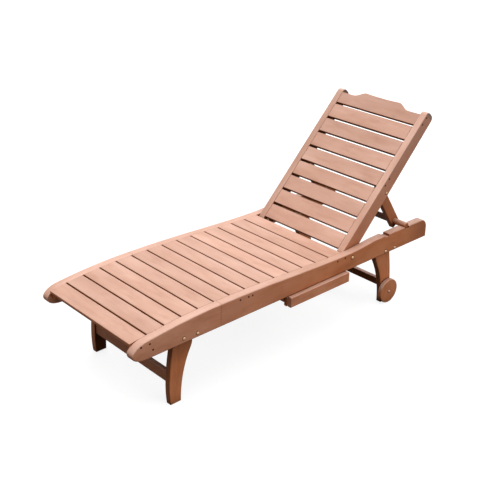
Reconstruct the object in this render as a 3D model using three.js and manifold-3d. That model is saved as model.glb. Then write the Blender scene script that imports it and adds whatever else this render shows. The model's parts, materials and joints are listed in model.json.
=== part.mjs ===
// Reclining sun lounger in oiled softwood: two shaped side rails carry a slatted seat,
// a hinged backrest with a folding prop frame, four sabre legs, two wooden wheels and
// a pull-out tray. Millimetres, +Z up. X runs from the foot end to the head end and
// Y from the lounger's left side (-Y) to its right side (+Y).

import * as THREE from 'three';
import { mergeVertices } from 'three/addons/utils/BufferGeometryUtils.js';
import Module from 'manifold-3d';

const wasm = await Module();
wasm.setup();

// ---------------------------------------------------------------- driving dimensions

const FIT = 0.3;                    // gap between pieces that touch
const ARRIS = 3;                    // rounding of the slats' long edges

// side rails, measured from the foot end
const RAIL_THICKNESS = 36;
const RAIL_EDGE = 4;                // rounding of the rails' long edges
const RAIL_INNER_EDGE = 2;          // what is left of it on the inside, against the slats
const RAIL_BOTTOM = 281;            // underside above the floor
const INNER_WIDTH = 540;            // between the two side rails
const NOSE_HEIGHT = 315;            // foremost point of the nose
const NOSE_RUN = 62;                // where the nose meets the top edge
const NOSE_RUN_BELOW = 60;          // where the nose meets the underside
const HEAD_CORNER_RUN = 46;
const HEAD_CORNER_DROP = 40;
const HEAD_RAIL_HEIGHT = 373;       // top edge at the head end
const HEAD_RISE = 189.5;            // from the hinge to where the top edge reaches that height
const HEAD_RUN = 519.5;             // from the hinge to the rails' head ends

// seat surface
const CROWN_X = 414.5;
const CROWN_HEIGHT = 379;
const CROWN_RADIUS = 2646;          // on the foot side of the crown
const WAIST_SETBACK = 25;           // lowest point of the seat line, before the hinge
const WAIST_HEIGHT = 358.5;
const WAIST_SKEW = 1.12;
const RAIL_LIP = 0.5;               // rails stand this far above the slats

const SEAT_SLATS = 14;
const SEAT_PITCH = 80.8;
const SEAT_GAP = 6.4;
const SEAT_SLAT_THICKNESS = 16;
const FIRST_GAP_X = 92.5;           // middle of the gap behind the first slat
const CLEAT_HEIGHT = 22;
const CLEAT_WIDTH = 22;
const CLEAT_SETBACK = 6;            // cleat ends inside the first and last slat

// legs
const LEG_THICKNESS = 28;
const FRONT_LEG_TOP = 318;
const REAR_LEG_TOP = 302.5;         // the lowered backrest comes to lie on the rear legs
const FOOT_WIDTH = 51;
const LEG_SHOULDER_HEIGHT = 250;
const LEG_HEAD_OUT = 10.5;          // bowed edge at the shoulder, from the foot's middle
const LEG_HEAD_IN = 88;             // hollow edge at the shoulder, from the foot's middle
const LEG_BOW = 10.5;               // pull of the bowed edge's curve beyond the foot
const FRONT_FOOT_X = 220;
const REAR_FOOT_RUN = 294.5;        // from the hinge to the middle of the rear feet

const FRONT_STRETCHER = { setback: 11, thickness: 20, bottom: 91, height: 50 };
const REAR_STRETCHER = { setback: 22.5, thickness: 22, bottom: 86, height: 34 };

// wheels
const WHEEL_RADIUS = 59;
const WHEEL_THICKNESS = 21;
const WHEEL_EDGE = 4;
const WHEEL_LIFT = 1.5;             // wheels clear the floor until the foot end is lifted
const WHEEL_STANDOFF = 2.5;         // washer space between wheel and leg

// bolts
const BOLT_RADIUS = 4;
const BOLT_CLEARANCE = 0.5;
const BOLT_HEAD_RADIUS = 8;
const BOLT_HEAD_HEIGHT = 4;
const PIVOT_HEAD_HEIGHT = 2.4;      // clears the side rail when the backrest is down
const NUT_RADIUS = 6.5;
const NUT_HEIGHT = 5;

// backrest, measured from its hinge along the rails and square to them
const HINGE_SETBACK = 36.8;         // behind the last seat slat
const HINGE_Z = 335.5;
const BACK_SIDE_GAP = 3;            // to the side rails
const BACK_RAIL_WIDTH = 33.5;
const BACK_RAIL_FRONT = 27;         // front face in front of the hinge
const BACK_DEPTH_FOOT = 72;
const BACK_DEPTH_HEAD = 58;
const BACK_LENGTH = 745;
const BACK_HEAD_CORNER = 22;
const BACK_EDGE = 3;
const BACK_SLATS = 8;
const BACK_PITCH = 82.3;
const BACK_GAP = 10;
const BACK_FIRST_GAP = 0.3;         // middle of the gap under the lowest slat
const BACK_SLAT_THICKNESS = 18;
const BACK_SLAT_RECESS = 1.5;
const TENON_LENGTH = 10;
const TENON_THICKNESS = 8;
const TENON_SHOULDER = 8;

// crest rail across the top of the backrest
const CREST_THICKNESS = 20;
const CREST_EDGE = 2.5;
const CREST_SHOULDER = 721;         // top edge beside the rails, from the hinge
const CREST_PLATEAU = 748;          // raised middle, from the hinge
const CREST_PLATEAU_HALF = 106;
const CREST_OGEE_RUN = 62;
const CREST_DIP = 3;                // hollow in the middle of the plateau

// prop frame, measured from its pivot on the backrest rails
const PIVOT_ALONG = 335;
const PIVOT_BELOW = 21;
const PROP_LENGTH = 219;            // pivot to foot bar
const ARM_WIDTH = 50;
const ARM_THICKNESS = 25;
const ARM_SIDE_GAP = 0.5;
const ARM_END = 26;                 // square end past the foot bar
const ARM_END_CORNER = 5;
const FOOT_BAR_RADIUS = 14;
const FOOT_BAR_INSET = 3;           // ends inside the rails' outer faces
const PROP_RAIL_START = 160;
const PROP_RAIL_WIDTH = 45;         // along the arms
const PROP_RAIL_THICKNESS = 10;
const PROP_RAIL_SETBACK = 1.5;      // behind the arms' edges

// notches that hold the foot bar
const NOTCH_DEPTH = 10.5;
const NOTCH_PLAY = 0.5;             // the notch's round seat is this much larger than the bar
const NOTCH_RAMP_ANGLE = Math.PI / 4;
const NOTCH_RUNS = [245, 385.5];    // from the hinge to the upright faces that stop the bar

// tray
const TRAY_SETBACK = 37;            // head end of the tray front, before the hinge
const TRAY_FRONT_LENGTH = 355;
const TRAY_FRONT_HEIGHT = 46;
const TRAY_FRONT_THICKNESS = 20;
const TRAY_FRONT_EDGE = 3;
const TRAY_FRONT_RISE = 2;          // laps over the side rail's rounded lower edge
const TRAY_DROP = 2;                // the tray's other pieces stay this far under the rail
const BACKING_THICKNESS = 15.5;
const BACKING_OVERHANG = 5;         // past each end of the tray front
const BACKING_BOTTOM = 238;
const RUNNER_OVERHANG = 7.5;        // outer faces past each end of the tray front
const RUNNER_WIDTH = 22;
const RUNNER_HEIGHT = 27.5;
const GROOVE_DEPTH = 8;
const GROOVE_DROP = 10;             // top of the groove under the runner's top
const GROOVE_HEIGHT = 10;
const GROOVE_PLAY = 0.7;
const TRAY_BATTEN_WIDTH = 24;
const TRAY_DEPTH = 340;
const TRAY_SLATS = 4;
const TRAY_SLAT_GAP = 8;

// ---------------------------------------------------------------- places along the lounger

const seatEndX = FIRST_GAP_X + (SEAT_SLATS - 1) * SEAT_PITCH - SEAT_GAP / 2;
const hingeX = seatEndX + HINGE_SETBACK;
const waistX = hingeX - WAIST_SETBACK;
const headRiseX = hingeX + HEAD_RISE;
const railLength = hingeX + HEAD_RUN;
const rearFootX = hingeX + REAR_FOOT_RUN;
const notchStops = NOTCH_RUNS.map((run) => hingeX + run);
const notchSeat = FOOT_BAR_RADIUS + NOTCH_PLAY;

// ---------------------------------------------------------------- materials

const material = (color, roughness, metalness) =>
  new THREE.MeshStandardMaterial({ color, roughness, metalness });

const seatWood = material(0xd9a88c, 0.55, 0);
const frameWood = material(0xb27a58, 0.55, 0);
const shadeWood = material(0x9a6243, 0.6, 0);
const zincSteel = material(0xb9b4aa, 0.35, 1);

// ---------------------------------------------------------------- solids

const lounger = new THREE.Group();

function addPiece(group, name, geometry, finish) {
  const mesh = new THREE.Mesh(geometry, finish);
  mesh.name = name;
  group.add(mesh);
  return mesh;
}

function toSolid(geometry) {
  const bare = geometry.clone();
  bare.deleteAttribute('normal');
  bare.deleteAttribute('uv');
  const merged = mergeVertices(bare, 1e-4);
  return new wasm.Manifold(new wasm.Mesh({
    numProp: 3,
    vertProperties: merged.attributes.position.array,
    triVerts: new Uint32Array(merged.index.array),
  }));
}

function toGeometry(solid) {
  const mesh = solid.getMesh();
  const geometry = new THREE.BufferGeometry();
  geometry.setAttribute('position', new THREE.BufferAttribute(mesh.vertProperties, mesh.numProp));
  geometry.setIndex(new THREE.BufferAttribute(mesh.triVerts, 1));
  return geometry;
}

function cutFrom(geometry, tools) {
  let solid = toSolid(geometry);
  for (const tool of tools) {
    solid = solid.subtract(toSolid(tool));
  }
  return toGeometry(solid);
}

function joinTo(geometry, additions) {
  let solid = toSolid(geometry);
  for (const addition of additions) {
    solid = solid.add(toSolid(addition));
  }
  return toGeometry(solid);
}

// An outline drawn in X (along) and Z (up), made into a plate centred on Y = 0.
function sidePlate(shape, thickness, edge = 0, curveSegments = 12) {
  const geometry = new THREE.ExtrudeGeometry(shape, {
    depth: thickness - 2 * edge,
    curveSegments,
    bevelEnabled: edge > 0,
    bevelThickness: edge,
    bevelSize: edge,
    bevelOffset: -edge,
    bevelSegments: 2,
  });
  geometry.rotateX(Math.PI / 2);
  geometry.translate(0, thickness / 2 - edge, 0);
  return geometry;
}

// A rectangle with rounded corners in X and Z, its top face at Z = 0.
function slatSection(width, thickness, radius) {
  const shape = new THREE.Shape();
  const half = width / 2 - radius;
  shape.absarc(half, -radius, radius, Math.PI / 2, 0, true);
  shape.absarc(half, radius - thickness, radius, 0, -Math.PI / 2, true);
  shape.absarc(-half, radius - thickness, radius, -Math.PI / 2, -Math.PI, true);
  shape.absarc(-half, -radius, radius, Math.PI, Math.PI / 2, true);
  return shape;
}

function box(sizeX, sizeY, sizeZ, x, y, z) {
  return new THREE.BoxGeometry(sizeX, sizeY, sizeZ).translate(x, y, z);
}

// A cylinder lying across the lounger, centred on Y = y.
function crossRod(radius, length, x, y, z, sides = 24) {
  const rod = new THREE.CylinderGeometry(radius, radius, length, sides);
  return rod.translate(0, y, 0).translate(x, 0, z);
}

const boltHole = (length, x, z) =>
  crossRod(BOLT_RADIUS + BOLT_CLEARANCE, length, x, 0, z, 16);

// A domed bolt along +Y: the head's seat is at Y = 0 and the nut's seat at Y = grip.
function boltGeometry(grip, headHeight) {
  const profile = [new THREE.Vector2(0, -headHeight)];
  for (const turn of [0.25, 0.5, 0.75]) {
    const angle = turn * Math.PI / 2;
    profile.push(new THREE.Vector2(
      BOLT_HEAD_RADIUS * Math.sin(angle), -headHeight * Math.cos(angle)));
  }
  profile.push(new THREE.Vector2(BOLT_HEAD_RADIUS, 0));
  profile.push(new THREE.Vector2(BOLT_RADIUS, 0));
  profile.push(new THREE.Vector2(BOLT_RADIUS, grip));
  profile.push(new THREE.Vector2(NUT_RADIUS, grip));
  profile.push(new THREE.Vector2(NUT_RADIUS, grip + NUT_HEIGHT));
  profile.push(new THREE.Vector2(0, grip + NUT_HEIGHT));
  return new THREE.LatheGeometry(profile, 16);
}

// side is -1 for the lounger's left and +1 for its right.
const SIDES = [['left', -1], ['right', 1]];
const innerFace = INNER_WIDTH / 2;
const outerFace = innerFace + RAIL_THICKNESS;

// Places a bolt whose head bears on a face at distance headY from the middle of the lounger.
function addBolt(group, name, side, headY, grip, x, z, headHeight = BOLT_HEAD_HEIGHT) {
  const bolt = addPiece(group, name, boltGeometry(grip + 2 * FIT, headHeight), zincSteel);
  bolt.position.set(x, side * (headY + FIT), z);
  bolt.rotation.z = side > 0 ? Math.PI : 0;
}

// ---------------------------------------------------------------- seat line

function ease(from, to, share) {
  return from + (to - from) * (1 - Math.cos(Math.PI * share)) / 2;
}

// Height of the slats' top faces at a distance x from the foot end.
function seatHeight(x) {
  if (x < CROWN_X) {
    return CROWN_HEIGHT - (CROWN_X - x) ** 2 / (2 * CROWN_RADIUS);
  }
  const share = Math.min((x - CROWN_X) / (waistX - CROWN_X), 1);
  return ease(CROWN_HEIGHT, WAIST_HEIGHT, share ** WAIST_SKEW);
}

// Height of the side rails' top edge.
function railHeight(x) {
  if (x < waistX) {
    return seatHeight(x) + RAIL_LIP;
  }
  const share = Math.min((x - waistX) / (headRiseX - waistX), 1);
  return ease(WAIST_HEIGHT + RAIL_LIP, HEAD_RAIL_HEIGHT, share);
}

// ---------------------------------------------------------------- side rails

function railShape() {
  const shape = new THREE.Shape();
  shape.moveTo(NOSE_RUN_BELOW, RAIL_BOTTOM);
  shape.bezierCurveTo(NOSE_RUN_BELOW / 2, RAIL_BOTTOM, 0, NOSE_HEIGHT - 22, 0, NOSE_HEIGHT);
  shape.bezierCurveTo(0, NOSE_HEIGHT + 13, NOSE_RUN / 3, railHeight(NOSE_RUN) - 7,
    NOSE_RUN, railHeight(NOSE_RUN));
  const topEnd = railLength - HEAD_CORNER_RUN;
  const steps = 40;
  for (let i = 1; i <= steps; i += 1) {
    const x = NOSE_RUN + (topEnd - NOSE_RUN) * i / steps;
    shape.lineTo(x, railHeight(x));
  }
  shape.quadraticCurveTo(railLength - HEAD_CORNER_RUN / 6, HEAD_RAIL_HEIGHT,
    railLength, HEAD_RAIL_HEIGHT - HEAD_CORNER_DROP);
  shape.lineTo(railLength, RAIL_BOTTOM);
  shape.closePath();
  return shape;
}

// A notch: an upright stop, a floor that ends in a round seat for the foot bar, and a ramp.
function notchTool(stopX) {
  const floor = HEAD_RAIL_HEIGHT - NOTCH_DEPTH;
  const seatX = stopX - notchSeat;
  const rampX = seatX - notchSeat * Math.sin(NOTCH_RAMP_ANGLE);
  const rampZ = floor + notchSeat * (1 - Math.cos(NOTCH_RAMP_ANGLE));
  const over = HEAD_RAIL_HEIGHT + 1;
  const shape = new THREE.Shape();
  shape.moveTo(stopX, floor);
  shape.lineTo(stopX, over);
  shape.lineTo(rampX - (over - rampZ) / Math.tan(NOTCH_RAMP_ANGLE), over);
  shape.absarc(seatX, floor + notchSeat, notchSeat, -Math.PI / 2 - NOTCH_RAMP_ANGLE,
    -Math.PI / 2, false);
  shape.closePath();
  return sidePlate(shape, 2 * RAIL_THICKNESS);
}

// The plate is made too thick and planed down inside, which leaves a smaller rounding there.
function railPlate(side) {
  const planed = RAIL_EDGE - RAIL_INNER_EDGE;
  const plate = sidePlate(railShape(), RAIL_THICKNESS + planed, RAIL_EDGE, 10);
  plate.translate(0, -side * planed / 2, 0);
  const shaving = box(3 * railLength, 2 * planed, 3 * HEAD_RAIL_HEIGHT, 0,
    -side * (RAIL_THICKNESS / 2 + planed), 0);
  return cutFrom(plate, [shaving]);
}

for (const [label, side] of SIDES) {
  const rail = cutFrom(railPlate(side), [
    ...notchStops.map(notchTool),
    boltHole(2 * RAIL_THICKNESS, hingeX, HINGE_Z),
  ]);
  addPiece(lounger, `side_rail_${label}`, rail, frameWood)
    .position.y = side * (innerFace + RAIL_THICKNESS / 2);
}

// ---------------------------------------------------------------- seat slats and cleats

const seatSlatWidth = SEAT_PITCH - SEAT_GAP;

function seatSlatPlace(index) {
  const x = FIRST_GAP_X + (index - 0.5) * SEAT_PITCH;
  const rise = seatHeight(x + 1) - seatHeight(x - 1);
  return { x, z: seatHeight(x), angle: Math.atan2(rise, 2) };
}

for (let i = 0; i < SEAT_SLATS; i += 1) {
  const place = seatSlatPlace(i);
  const section = slatSection(seatSlatWidth, SEAT_SLAT_THICKNESS, ARRIS);
  const slat = addPiece(lounger, `seat_slat_${i + 1}`,
    sidePlate(section, INNER_WIDTH - 2 * FIT, 0, 3), seatWood);
  slat.position.set(place.x, 0, place.z);
  slat.rotation.y = -place.angle;
}

// The cleats' top edge follows the undersides of the slats.
function cleatShape() {
  const top = [];
  for (let i = 0; i < SEAT_SLATS; i += 1) {
    const place = seatSlatPlace(i);
    const depth = SEAT_SLAT_THICKNESS + FIT;
    for (const end of [-1, 1]) {
      const outermost = (i === 0 && end < 0) || (i === SEAT_SLATS - 1 && end > 0);
      const along = end * (seatSlatWidth / 2 - (outermost ? CLEAT_SETBACK : 0));
      top.push(new THREE.Vector2(
        place.x + along * Math.cos(place.angle) + depth * Math.sin(place.angle),
        place.z + along * Math.sin(place.angle) - depth * Math.cos(place.angle)));
    }
  }
  const bottom = top.map((p) => new THREE.Vector2(p.x, p.y - CLEAT_HEIGHT)).reverse();
  return new THREE.Shape([...top, ...bottom]);
}

for (const [label, side] of SIDES) {
  addPiece(lounger, `seat_cleat_${label}`, sidePlate(cleatShape(), CLEAT_WIDTH), shadeWood)
    .position.y = side * (innerFace - FIT - CLEAT_WIDTH / 2);
}

// ---------------------------------------------------------------- legs and stretchers

// The outline of a front leg around the middle of its foot; a rear leg is its mirror image.
function legShape(direction, top) {
  const foot = FOOT_WIDTH / 2;
  const at = (x, z) => [direction * x, z];
  const shape = new THREE.Shape();
  shape.moveTo(...at(foot, 0));
  shape.bezierCurveTo(...at(foot + LEG_BOW / 7, 0.36 * LEG_SHOULDER_HEIGHT),
    ...at(LEG_HEAD_IN / 2 + 2, 0.66 * LEG_SHOULDER_HEIGHT),
    ...at(LEG_HEAD_IN - 8, LEG_SHOULDER_HEIGHT - 24));
  shape.quadraticCurveTo(...at(LEG_HEAD_IN, LEG_SHOULDER_HEIGHT - 8),
    ...at(LEG_HEAD_IN, LEG_SHOULDER_HEIGHT + 12));
  shape.lineTo(...at(LEG_HEAD_IN, top));
  shape.lineTo(...at(5 - LEG_HEAD_OUT, top));
  shape.lineTo(...at(-LEG_HEAD_OUT, LEG_SHOULDER_HEIGHT));
  shape.bezierCurveTo(...at(-foot - LEG_BOW / 7, 0.64 * LEG_SHOULDER_HEIGHT),
    ...at(-foot - LEG_BOW, 0.3 * LEG_SHOULDER_HEIGHT), ...at(-foot, 0));
  shape.closePath();
  return shape;
}

const axleZ = WHEEL_RADIUS + WHEEL_LIFT;

for (const [label, side] of SIDES) {
  const y = side * (innerFace - FIT - LEG_THICKNESS / 2);
  const frontLeg = sidePlate(legShape(1, FRONT_LEG_TOP), LEG_THICKNESS, ARRIS, 14);
  addPiece(lounger, `front_leg_${label}`, frontLeg, frameWood)
    .position.set(FRONT_FOOT_X, y, 0);
  const rearLeg = cutFrom(
    sidePlate(legShape(-1, REAR_LEG_TOP), LEG_THICKNESS, ARRIS, 14),
    [boltHole(2 * LEG_THICKNESS, 0, axleZ)]);
  addPiece(lounger, `rear_leg_${label}`, rearLeg, frameWood)
    .position.set(rearFootX, y, 0);
}

const stretcherLength = INNER_WIDTH - 2 * (LEG_THICKNESS + 2 * FIT);

for (const [name, footX, size] of [
  ['front_stretcher', FRONT_FOOT_X, FRONT_STRETCHER],
  ['rear_stretcher', rearFootX, REAR_STRETCHER],
]) {
  const section = slatSection(size.thickness, size.height, ARRIS);
  addPiece(lounger, name, sidePlate(section, stretcherLength, 0, 3), shadeWood)
    .position.set(footX - size.setback, 0, size.bottom + size.height);
}

// ---------------------------------------------------------------- wheels

function wheelGeometry() {
  const half = WHEEL_THICKNESS / 2;
  const bore = BOLT_RADIUS + BOLT_CLEARANCE;
  const profile = [new THREE.Vector2(bore, -half)];
  for (const end of [-1, 1]) {
    for (const turn of [0, 0.5, 1]) {
      const angle = (end < 0 ? turn - 1 : turn) * Math.PI / 2;
      profile.push(new THREE.Vector2(
        WHEEL_RADIUS - WHEEL_EDGE + WHEEL_EDGE * Math.cos(angle),
        end * (half - WHEEL_EDGE) + WHEEL_EDGE * Math.sin(angle)));
    }
  }
  profile.push(new THREE.Vector2(bore, half));
  profile.push(new THREE.Vector2(bore, -half));
  return new THREE.LatheGeometry(profile, 48);
}

const wheelInner = innerFace + WHEEL_STANDOFF;

for (const [label, side] of SIDES) {
  addPiece(lounger, `wheel_${label}`, wheelGeometry(), seatWood)
    .position.set(rearFootX, side * (wheelInner + WHEEL_THICKNESS / 2), axleZ);
  const grip = WHEEL_THICKNESS + WHEEL_STANDOFF + FIT + LEG_THICKNESS;
  addBolt(lounger, `axle_bolt_${label}`, side, wheelInner + WHEEL_THICKNESS, grip,
    rearFootX, axleZ);
}

// ---------------------------------------------------------------- backrest

const backOuter = innerFace - BACK_SIDE_GAP;
const backInner = backOuter - BACK_RAIL_WIDTH;
const barX = notchStops[1] - notchSeat;
const barZ = HEAD_RAIL_HEIGHT - NOTCH_DEPTH + FIT + FOOT_BAR_RADIUS;

// The recline closes the triangle of hinge, prop pivot and foot bar.
const pivotReach = Math.hypot(PIVOT_ALONG, PIVOT_BELOW);
const barReach = Math.hypot(barX - hingeX, barZ - HINGE_Z);
const hingeAngle = Math.acos(
  (pivotReach ** 2 + barReach ** 2 - PROP_LENGTH ** 2) / (2 * pivotReach * barReach));
const pivotElevation = hingeAngle + Math.atan2(barZ - HINGE_Z, barX - hingeX);
const recline = pivotElevation + Math.atan2(PIVOT_BELOW, PIVOT_ALONG);

const backrest = new THREE.Group();
backrest.position.set(hingeX, 0, HINGE_Z);
backrest.rotation.y = -recline;
lounger.add(backrest);

function backRailShape() {
  const footRadius = BACK_DEPTH_FOOT / 2;
  const headStart = BACK_LENGTH - BACK_HEAD_CORNER;
  const headBack = BACK_RAIL_FRONT - BACK_DEPTH_HEAD;
  const shape = new THREE.Shape();
  shape.moveTo(0, BACK_RAIL_FRONT);
  shape.absarc(headStart, BACK_RAIL_FRONT - BACK_HEAD_CORNER, BACK_HEAD_CORNER,
    Math.PI / 2, 0, true);
  shape.absarc(headStart, headBack + BACK_HEAD_CORNER, BACK_HEAD_CORNER,
    0, -Math.PI / 2, true);
  shape.absarc(0, BACK_RAIL_FRONT - footRadius, footRadius, -Math.PI / 2, -Math.PI * 1.5, true);
  return shape;
}

const backSlatWidth = BACK_PITCH - BACK_GAP;
const backSlatFace = BACK_RAIL_FRONT - BACK_SLAT_RECESS;
const backSlatMiddle = (index) => BACK_FIRST_GAP + (index + 0.5) * BACK_PITCH;
const crestStart = BACK_FIRST_GAP + BACK_SLATS * BACK_PITCH + BACK_GAP / 2;
const crestTenonWidth = CREST_SHOULDER - crestStart - 2 * TENON_SHOULDER;
const tenonZ = backSlatFace - BACK_SLAT_THICKNESS / 2;

// A tenon, or with clearance the mortise that takes it.
function tenon(middle, width, side, clearance) {
  const start = backInner - FIT - 2;
  const end = backInner + TENON_LENGTH + clearance;
  return box(width + 2 * clearance, end - start, TENON_THICKNESS + 2 * clearance,
    middle, side * (start + end) / 2, tenonZ);
}

const tenonRows = [];
for (let i = 0; i < BACK_SLATS; i += 1) {
  tenonRows.push([backSlatMiddle(i), backSlatWidth - 2 * TENON_SHOULDER]);
}
tenonRows.push([crestStart + TENON_SHOULDER + crestTenonWidth / 2, crestTenonWidth]);

for (const [label, side] of SIDES) {
  const middleY = side * (backOuter - BACK_RAIL_WIDTH / 2);
  const plate = sidePlate(backRailShape(), BACK_RAIL_WIDTH, BACK_EDGE, 8);
  plate.translate(0, middleY, 0);
  const rail = cutFrom(plate, [
    ...tenonRows.map(([middle, width]) => tenon(middle, width, side, FIT)),
    boltHole(INNER_WIDTH * 2, 0, 0),
    boltHole(INNER_WIDTH * 2, PIVOT_ALONG, -PIVOT_BELOW),
  ]);
  addPiece(backrest, `backrest_rail_${label}`, rail, frameWood);
  addBolt(lounger, `hinge_bolt_${label}`, side, outerFace,
    RAIL_THICKNESS + BACK_SIDE_GAP + BACK_RAIL_WIDTH, hingeX, HINGE_Z);
  addBolt(backrest, `pivot_bolt_${label}`, side, backOuter,
    BACK_RAIL_WIDTH + ARM_SIDE_GAP + ARM_THICKNESS, PIVOT_ALONG, -PIVOT_BELOW,
    PIVOT_HEAD_HEIGHT);
}

const backSlatLength = 2 * (backInner - FIT);

for (let i = 0; i < BACK_SLATS; i += 1) {
  const section = slatSection(backSlatWidth, BACK_SLAT_THICKNESS, ARRIS);
  const board = sidePlate(section, backSlatLength, 0, 3);
  board.translate(backSlatMiddle(i), 0, backSlatFace);
  const tenons = SIDES.map(([, side]) =>
    tenon(backSlatMiddle(i), backSlatWidth - 2 * TENON_SHOULDER, side, 0));
  addPiece(backrest, `backrest_slat_${i + 1}`, joinTo(board, tenons), seatWood);
}

// The crest rail seen from the front, across Y and up along the backrest.
function crestShape() {
  const half = backSlatLength / 2;
  const rise = CREST_PLATEAU - CREST_SHOULDER;
  const ogeeEnd = CREST_PLATEAU_HALF + CREST_OGEE_RUN;
  const along = (share) => CREST_PLATEAU_HALF + share * CREST_OGEE_RUN;
  const shape = new THREE.Shape();
  shape.moveTo(-half, crestStart);
  shape.lineTo(half, crestStart);
  shape.lineTo(half, CREST_SHOULDER);
  shape.lineTo(ogeeEnd, CREST_SHOULDER);
  shape.bezierCurveTo(along(0.58), CREST_SHOULDER, along(0.42), CREST_SHOULDER + 0.55 * rise,
    along(0.13), CREST_SHOULDER + 0.85 * rise);
  shape.quadraticCurveTo(along(0.03), CREST_PLATEAU, along(-0.13), CREST_PLATEAU);
  shape.quadraticCurveTo(0, CREST_PLATEAU - 2 * CREST_DIP, -along(-0.13), CREST_PLATEAU);
  shape.quadraticCurveTo(-along(0.03), CREST_PLATEAU, -along(0.13), CREST_SHOULDER + 0.85 * rise);
  shape.bezierCurveTo(-along(0.42), CREST_SHOULDER + 0.55 * rise, -along(0.58), CREST_SHOULDER,
    -ogeeEnd, CREST_SHOULDER);
  shape.lineTo(-half, CREST_SHOULDER);
  shape.closePath();
  return shape;
}

const crestBoard = new THREE.ExtrudeGeometry(crestShape(), {
  depth: CREST_THICKNESS - 2 * CREST_EDGE,
  curveSegments: 8,
  bevelThickness: CREST_EDGE,
  bevelSize: CREST_EDGE,
  bevelOffset: -CREST_EDGE,
  bevelSegments: 2,
});
crestBoard.rotateZ(-Math.PI / 2);
crestBoard.translate(0, 0, backSlatFace - CREST_THICKNESS + CREST_EDGE);
const crestTenons = SIDES.map(([, side]) =>
  tenon(crestStart + TENON_SHOULDER + crestTenonWidth / 2, crestTenonWidth, side, 0));
addPiece(backrest, 'backrest_crest', joinTo(crestBoard, crestTenons), seatWood);

// ---------------------------------------------------------------- prop frame

const prop = new THREE.Group();
prop.position.set(PIVOT_ALONG, 0, -PIVOT_BELOW);
const pivotZ = HINGE_Z + pivotReach * Math.sin(pivotElevation);
const propDrop = Math.asin((pivotZ - barZ) / PROP_LENGTH);
prop.rotation.y = recline + propDrop;
backrest.add(prop);

// A flat bar along +X, round at the pivot and square past the foot bar.
function armShape() {
  const half = ARM_WIDTH / 2;
  const cornerX = PROP_LENGTH + ARM_END - ARM_END_CORNER;
  const cornerZ = half - ARM_END_CORNER;
  const shape = new THREE.Shape();
  shape.absarc(0, 0, half, Math.PI / 2, Math.PI * 1.5, false);
  shape.absarc(cornerX, -cornerZ, ARM_END_CORNER, -Math.PI / 2, 0, false);
  shape.absarc(cornerX, cornerZ, ARM_END_CORNER, 0, Math.PI / 2, false);
  shape.closePath();
  return shape;
}

const armOuter = backInner - ARM_SIDE_GAP;
const armInner = armOuter - ARM_THICKNESS;

for (const [label, side] of SIDES) {
  const arm = cutFrom(sidePlate(armShape(), ARM_THICKNESS, ARRIS, 8), [
    boltHole(2 * ARM_THICKNESS, 0, 0),
    crossRod(FOOT_BAR_RADIUS + FIT, 2 * ARM_THICKNESS, PROP_LENGTH, 0, 0, 32),
  ]);
  addPiece(prop, `prop_arm_${label}`, arm, frameWood)
    .position.y = side * (armOuter - ARM_THICKNESS / 2);
}

const propRail = slatSection(PROP_RAIL_WIDTH, PROP_RAIL_THICKNESS, ARRIS);
addPiece(prop, 'prop_rail', sidePlate(propRail, 2 * (armInner - FIT), 0, 3), shadeWood)
  .position.set(PROP_RAIL_START + PROP_RAIL_WIDTH / 2, 0,
    PROP_RAIL_SETBACK + PROP_RAIL_THICKNESS - ARM_WIDTH / 2);

// The foot bar is a turned rod with chamfered ends.
function rodProfile(radius, length, chamfer) {
  const half = length / 2;
  return [
    new THREE.Vector2(0, -half),
    new THREE.Vector2(radius - chamfer, -half),
    new THREE.Vector2(radius, chamfer - half),
    new THREE.Vector2(radius, half - chamfer),
    new THREE.Vector2(radius - chamfer, half),
    new THREE.Vector2(0, half),
  ];
}

const footBarLength = 2 * (outerFace - FOOT_BAR_INSET);
addPiece(prop, 'foot_bar',
  new THREE.LatheGeometry(rodProfile(FOOT_BAR_RADIUS, footBarLength, 2), 32), seatWood)
  .position.x = PROP_LENGTH;

// ---------------------------------------------------------------- tray and its runners

const trayMiddleX = hingeX - TRAY_SETBACK - TRAY_FRONT_LENGTH / 2;
const runnerOuterX = TRAY_FRONT_LENGTH / 2 + RUNNER_OVERHANG;
const runnerInnerX = runnerOuterX - RUNNER_WIDTH;
const runnerTop = RAIL_BOTTOM - FIT;
const backingBackY = outerFace - FIT - BACKING_THICKNESS;
const runnerLength = 2 * (backingBackY - FIT);

function runnerShape(direction) {
  const grooveTop = runnerTop - GROOVE_DROP;
  const outline = [
    [runnerOuterX, runnerTop],
    [runnerInnerX, runnerTop],
    [runnerInnerX, grooveTop],
    [runnerInnerX + GROOVE_DEPTH, grooveTop],
    [runnerInnerX + GROOVE_DEPTH, grooveTop - GROOVE_HEIGHT],
    [runnerInnerX, grooveTop - GROOVE_HEIGHT],
    [runnerInnerX, runnerTop - RUNNER_HEIGHT],
    [runnerOuterX, runnerTop - RUNNER_HEIGHT],
  ];
  return new THREE.Shape(outline.map(([x, z]) => new THREE.Vector2(direction * x, z)));
}

for (const [label, direction] of [['foot', -1], ['head', 1]]) {
  addPiece(lounger, `tray_runner_${label}`,
    sidePlate(runnerShape(direction), runnerLength), shadeWood)
    .position.x = trayMiddleX;
}

const tray = new THREE.Group();
tray.position.set(trayMiddleX, -outerFace, 0);
lounger.add(tray);

const trayTop = RAIL_BOTTOM - TRAY_DROP;
const frontBoard = slatSection(TRAY_FRONT_THICKNESS, TRAY_FRONT_HEIGHT, TRAY_FRONT_EDGE);
const frontGeometry = sidePlate(frontBoard, TRAY_FRONT_LENGTH, 0, 3).rotateZ(Math.PI / 2);
addPiece(tray, 'tray_front', frontGeometry, seatWood)
  .position.set(0, -TRAY_FRONT_THICKNESS / 2, RAIL_BOTTOM + TRAY_FRONT_RISE);

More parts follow.
